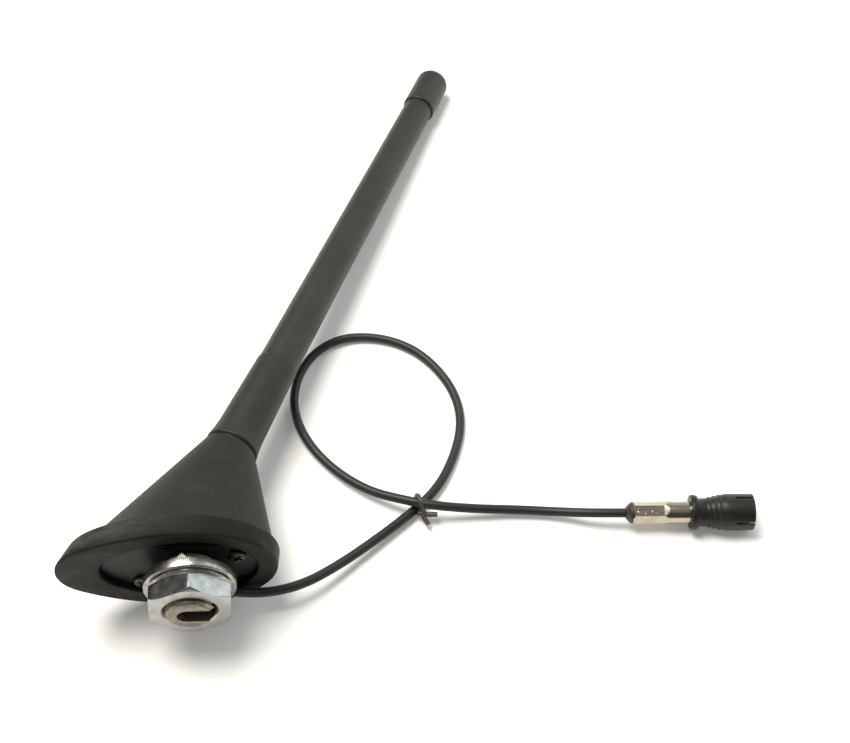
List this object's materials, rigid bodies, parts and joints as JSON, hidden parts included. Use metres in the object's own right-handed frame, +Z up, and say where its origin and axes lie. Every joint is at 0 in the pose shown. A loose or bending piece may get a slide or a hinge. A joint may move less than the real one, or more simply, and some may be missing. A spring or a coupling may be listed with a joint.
{
  "type": "roof antenna",
  "caption": "Car roof antenna lying on its side: skewed cone base with gasket, slotted stud, claw washer and nut below, screw-on tapered mast, short looped coax lead with a push-on connector.",
  "frame": {"origin": "on the surface it lies on, under the middle of the antenna without its lead", "axes": "+Z up from that surface, +Y along the antenna from the nut towards the mast's tip, +X towards the rear of the base, where the lead lies. It lies on its side as it comes to rest unheld; on a car the stud points down"},
  "size_m": [0.2004, 0.2244, 0.0423],
  "materials": {
    "cover": "moulded, fine grain",
    "gasket": "moulded rubber",
    "plate": "moulded",
    "screw": "zinc plated, dull",
    "casting": "zinc die casting, dull",
    "zinc_steel": "bright zinc plated",
    "brass": "turned",
    "copper": "drawn wire",
    "cable": "satin jacket",
    "mast_rubber": "matte rubber",
    "glass_fibre": "pultruded rod",
    "tie": "coated wire",
    "boot": "satin",
    "nickel": "nickel plated",
    "shroud": "satin moulding",
    "insulator": "smooth"
  },
  "bodies": {
    "base": {"base_cover": "cover", "base_gasket": "gasket", "base_plate": "plate", "cover_screws": "screw", "roof_stud": "casting", "mast_socket": "brass", "core_wire": "copper", "cable_tail": "cable", "cable_grommet": "gasket", "cable_clamp": "zinc_steel", "clamp_screws": "zinc_steel", "coax_cable": "cable", "cable_tie": "tie", "connector_boot": "boot", "connector_sleeve": "nickel", "connector_shroud": "shroud", "connector_insulator": "insulator", "connector_contact": "brass"},
    "washer": {"claw_washer": "zinc_steel"},
    "nut": {"roof_nut": "zinc_steel"},
    "seal": {"mast_seal": "gasket"},
    "mast": {"mast_ferrule": "mast_rubber", "mast_stud": "brass", "mast_core": "glass_fibre", "mast_winding": "copper", "mast_sheath": "mast_rubber", "mast_cap": "mast_rubber"}
  },
  "joints": [
    {"name": "washer_slide", "type": "slide", "parent": "base", "child": "washer", "axis": [0, -0.9999, 0.0105], "range_m": [-0.00002, 0.00452]},
    {"name": "nut_turn", "type": "hinge", "parent": "washer", "child": "nut", "pos_m": [-0.02889, -0.09814, 0.02094], "axis": [0, -0.9999, 0.0105], "range_deg": [0, 1080]},
    {"name": "mast_lift", "type": "slide", "parent": "base", "child": "seal", "axis": [0.4197, 0.9049, -0.071], "range_m": [-0.00002, 0.00265]},
    {"name": "mast_unscrew", "type": "hinge", "parent": "seal", "child": "mast", "pos_m": [-0.01741, -0.05836, 0.01884], "axis": [0.4197, 0.9049, -0.071], "range_deg": [0, 1080]}
  ],
  "couplings": [
    {"joint": "washer_slide", "follows": "nut_turn", "m_per_rad": 0.00023873},
    {"joint": "mast_lift", "follows": "mast_unscrew", "m_per_rad": 0.00012732}
  ]
}
